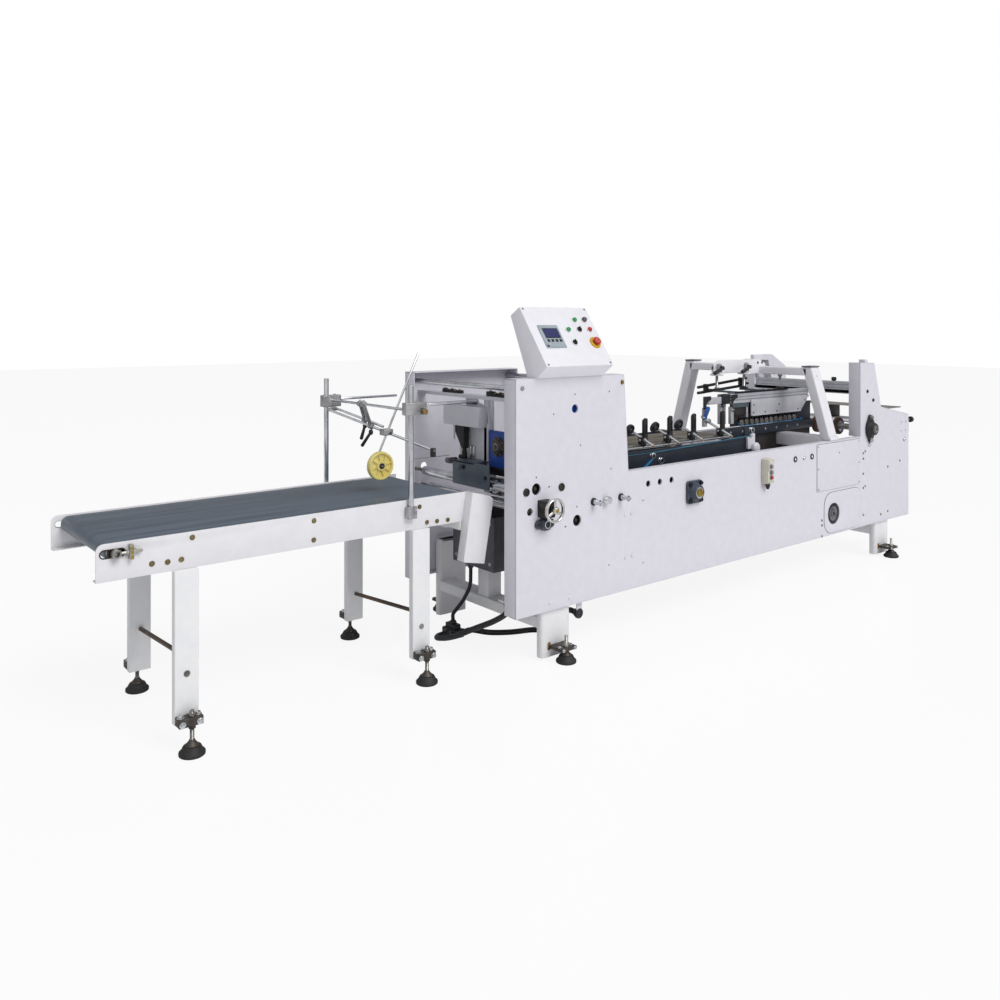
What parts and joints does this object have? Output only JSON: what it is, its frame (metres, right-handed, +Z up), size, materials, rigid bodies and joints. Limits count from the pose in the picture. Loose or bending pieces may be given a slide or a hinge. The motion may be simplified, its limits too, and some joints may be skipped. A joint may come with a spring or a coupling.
{
  "type": "paper folding machine",
  "caption": "Free-standing folding machine with side panels, gantry, control box, press rollers and a belt delivery conveyor with a press wheel.",
  "frame": {"origin": "on the floor, under the middle of the bounding box of the machine without its loose cables", "axes": "+X along the machine away from the delivery conveyor, +Y from the operator side to the far side, +Z up"},
  "size_m": [5.212, 1.04, 1.582],
  "materials": {
    "white_paint": "gloss, light pebble",
    "leg_paint": "satin",
    "steel": "brushed",
    "chrome": "polished",
    "aluminium": "anodised satin",
    "belt": "matt, fine weave",
    "nylon": "satin",
    "black_plastic": "satin",
    "black_rubber": "matt",
    "navy_iron": "painted cast",
    "navy_paint": "satin",
    "brass": "worn",
    "dark_steel": "dark",
    "green": "gloss",
    "red": "gloss",
    "grey_plastic": "satin"
  },
  "bodies": {
    "machine": {"conveyor_front_rail": "white_paint", "conveyor_rear_rail": "white_paint", "conveyor_bed": "steel", "conveyor_belt": "belt", "conveyor_left_legs": "leg_paint", "conveyor_right_legs": "leg_paint", "levelling_foot_1": "steel", "levelling_foot_2": "steel", "levelling_foot_3": "steel", "levelling_foot_4": "steel", "chain_guard": "white_paint", "rig_frame": "steel", "rig_slope_rods": "chrome", "front_side_panel": "white_paint", "rear_side_panel": "white_paint", "left_main_legs": "leg_paint", "right_main_legs": "leg_paint", "access_cover": "white_paint", "control_box": "white_paint", "drive_bearing": "navy_iron", "feeder_bearing": "navy_iron", "switch_box": "leg_paint", "press_unit": "steel", "carrier_beams": "navy_paint", "guide_bars": "steel", "gantry_frame": "white_paint", "upper_carrier": "aluminium", "feeder_crossbar": "aluminium", "hose_connectors": "black_plastic", "drop_cable": "black_rubber", "riser_hose": "black_rubber", "floor_hose": "black_rubber"},
    "main_drive_shaft": {"main_drive_shaft": "brass"},
    "feeder_shaft": {"feeder_shaft": "chrome"},
    "press_roller_upper": {"press_roller_upper": "chrome"},
    "press_roller_lower": {"press_roller_lower": "chrome"},
    "port_pulley": {"port_pulley": "dark_steel"},
    "conveyor_drive_roller": {"conveyor_drive_roller": "steel"},
    "conveyor_tail_roller": {"conveyor_tail_roller": "steel"},
    "wheel_arm": {"wheel_arm": "chrome"},
    "press_wheel": {"press_wheel": "nylon"},
    "clamp_lever_a": {"clamp_lever_a": "black_plastic"},
    "clamp_lever_b": {"clamp_lever_b": "black_plastic"},
    "green_button_upper": {"green_button_upper": "green"},
    "green_button_lower": {"green_button_lower": "green"},
    "red_button": {"red_button": "red"},
    "e_stop_button": {"e_stop_button": "red"},
    "selector_upper": {"selector_upper": "black_plastic"},
    "selector_lower": {"selector_lower": "black_plastic"},
    "speed_knob": {"speed_knob": "grey_plastic"},
    "handwheel": {"handwheel": "chrome"},
    "switch_button_top": {"switch_button_top": "grey_plastic"},
    "switch_button_middle": {"switch_button_middle": "grey_plastic"},
    "switch_button_bottom": {"switch_button_bottom": "red"},
    "hold_down_wheel_1": {"hold_down_wheel_1": "black_plastic"},
    "hold_down_wheel_2": {"hold_down_wheel_2": "black_plastic"},
    "hold_down_wheel_3": {"hold_down_wheel_3": "black_plastic"},
    "gantry_lever_a": {"gantry_lever_a": "black_plastic"},
    "gantry_lever_b": {"gantry_lever_b": "black_plastic"},
    "end_knob": {"end_knob": "black_plastic"}
  },
  "joints": [
    {"name": "main_drive_shaft_spin", "type": "hinge", "parent": "machine", "child": "main_drive_shaft", "pos_m": [0.251, 0, 0.644], "axis": [0, 1, 0], "continuous": true},
    {"name": "feeder_shaft_spin", "type": "hinge", "parent": "machine", "child": "feeder_shaft", "pos_m": [2.011, 0, 0.84], "axis": [0, 1, 0], "continuous": true},
    {"name": "press_roller_upper_spin", "type": "hinge", "parent": "machine", "child": "press_roller_upper", "pos_m": [-0.886, 0, 0.772], "axis": [0, 1, 0], "continuous": true},
    {"name": "press_roller_lower_spin", "type": "hinge", "parent": "machine", "child": "press_roller_lower", "pos_m": [-0.846, 0, 0.688], "axis": [0, 1, 0], "continuous": true},
    {"name": "port_pulley_spin", "type": "hinge", "parent": "machine", "child": "port_pulley", "pos_m": [1.58806, -0.42, 0.35597], "axis": [0, 1, 0], "continuous": true},
    {"name": "conveyor_drive_spin", "type": "hinge", "parent": "machine", "child": "conveyor_drive_roller", "pos_m": [-1.099, 0, 0.733], "axis": [0, 1, 0], "continuous": true},
    {"name": "conveyor_tail_spin", "type": "hinge", "parent": "machine", "child": "conveyor_tail_roller", "pos_m": [-2.544, 0, 0.733], "axis": [0, 1, 0], "continuous": true},
    {"name": "wheel_arm_slide", "type": "slide", "parent": "machine", "child": "wheel_arm", "axis": [0.4324, 0, 0.9017], "range_m": [-0.045, 0.085]},
    {"name": "press_wheel_spin", "type": "hinge", "parent": "wheel_arm", "child": "press_wheel", "pos_m": [-1.34762, 0.018, 0.879], "axis": [0, 1, 0], "continuous": true},
    {"name": "clamp_lever_a_turn", "type": "hinge", "parent": "machine", "child": "clamp_lever_a", "pos_m": [-1.3101, 0.211, 1.0649], "axis": [0, 0, 1], "range_deg": [-60, 60]},
    {"name": "clamp_lever_b_turn", "type": "hinge", "parent": "machine", "child": "clamp_lever_b", "pos_m": [-1.31494, 0.151, 1.04006], "axis": [0, 0, 1], "range_deg": [-60, 60]},
    {"name": "green_button_upper_press", "type": "slide", "parent": "machine", "child": "green_button_upper", "axis": [0, 0.8175, -0.576], "range_m": [0, 0.004], "stiffness_N_per_m": 400},
    {"name": "green_button_lower_press", "type": "slide", "parent": "machine", "child": "green_button_lower", "axis": [0, 0.8175, -0.576], "range_m": [0, 0.004], "stiffness_N_per_m": 400},
    {"name": "red_button_press", "type": "slide", "parent": "machine", "child": "red_button", "axis": [0, 0.8175, -0.576], "range_m": [0, 0.004], "stiffness_N_per_m": 400},
    {"name": "e_stop_press", "type": "slide", "parent": "machine", "child": "e_stop_button", "axis": [0, 0.8175, -0.576], "range_m": [0, 0.006]},
    {"name": "selector_upper_turn", "type": "hinge", "parent": "machine", "child": "selector_upper", "pos_m": [-0.52937, -0.39321, 1.47666], "axis": [0, -0.8175, 0.576], "range_deg": [-45, 45]},
    {"name": "selector_lower_turn", "type": "hinge", "parent": "machine", "child": "selector_lower", "pos_m": [-0.59701, -0.43413, 1.41858], "axis": [0, -0.8175, 0.576], "range_deg": [-45, 45]},
    {"name": "speed_knob_turn", "type": "hinge", "parent": "machine", "child": "speed_knob", "pos_m": [-0.46961, -0.36215, 1.52075], "axis": [0, -0.8175, 0.576], "range_deg": [-135, 135]},
    {"name": "handwheel_turn", "type": "hinge", "parent": "machine", "child": "handwheel", "pos_m": [-0.779, -0.502, 0.69], "axis": [0, 1, 0], "continuous": true},
    {"name": "switch_top_press", "type": "slide", "parent": "machine", "child": "switch_button_top", "axis": [0, 1, 0], "range_m": [0, 0.004], "stiffness_N_per_m": 400},
    {"name": "switch_middle_press", "type": "slide", "parent": "machine", "child": "switch_button_middle", "axis": [0, 1, 0], "range_m": [0, 0.004], "stiffness_N_per_m": 400},
    {"name": "switch_bottom_press", "type": "slide", "parent": "machine", "child": "switch_button_bottom", "axis": [0, 1, 0], "range_m": [0, 0.004], "stiffness_N_per_m": 400},
    {"name": "hold_down_wheel_1_spin", "type": "hinge", "parent": "machine", "child": "hold_down_wheel_1", "pos_m": [0.12594, -0.117, 0.938], "axis": [0, 0.9246, 0.381], "continuous": true},
    {"name": "hold_down_wheel_2_spin", "type": "hinge", "parent": "machine", "child": "hold_down_wheel_2", "pos_m": [0.32703, -0.117, 0.938], "axis": [0, 0.9246, 0.381], "continuous": true},
    {"name": "hold_down_wheel_3_spin", "type": "hinge", "parent": "machine", "child": "hold_down_wheel_3", "pos_m": [0.52798, -0.117, 0.938], "axis": [0, 0.9246, 0.381], "continuous": true},
    {"name": "gantry_lever_a_turn", "type": "hinge", "parent": "machine", "child": "gantry_lever_a", "pos_m": [1.141, 0.054, 1.234], "axis": [0, 1, 0], "range_deg": [-60, 60]},
    {"name": "gantry_lever_b_turn", "type": "hinge", "parent": "machine", "child": "gantry_lever_b", "pos_m": [1.42, 0.054, 1.234], "axis": [0, 1, 0], "range_deg": [-60, 60]},
    {"name": "end_knob_turn", "type": "hinge", "parent": "machine", "child": "end_knob", "pos_m": [2.556, -0.413, 0.86], "axis": [1, 0, 0], "continuous": true}
  ],
  "couplings": [
    {"joint": "feeder_shaft_spin", "follows": "main_drive_shaft_spin", "ratio": 1},
    {"joint": "press_roller_upper_spin", "follows": "main_drive_shaft_spin", "ratio": -1},
    {"joint": "press_roller_lower_spin", "follows": "main_drive_shaft_spin", "ratio": 1},
    {"joint": "port_pulley_spin", "follows": "main_drive_shaft_spin", "ratio": 1},
    {"joint": "conveyor_drive_spin", "follows": "main_drive_shaft_spin", "ratio": 1},
    {"joint": "conveyor_tail_spin", "follows": "main_drive_shaft_spin", "ratio": 1}
  ]
}
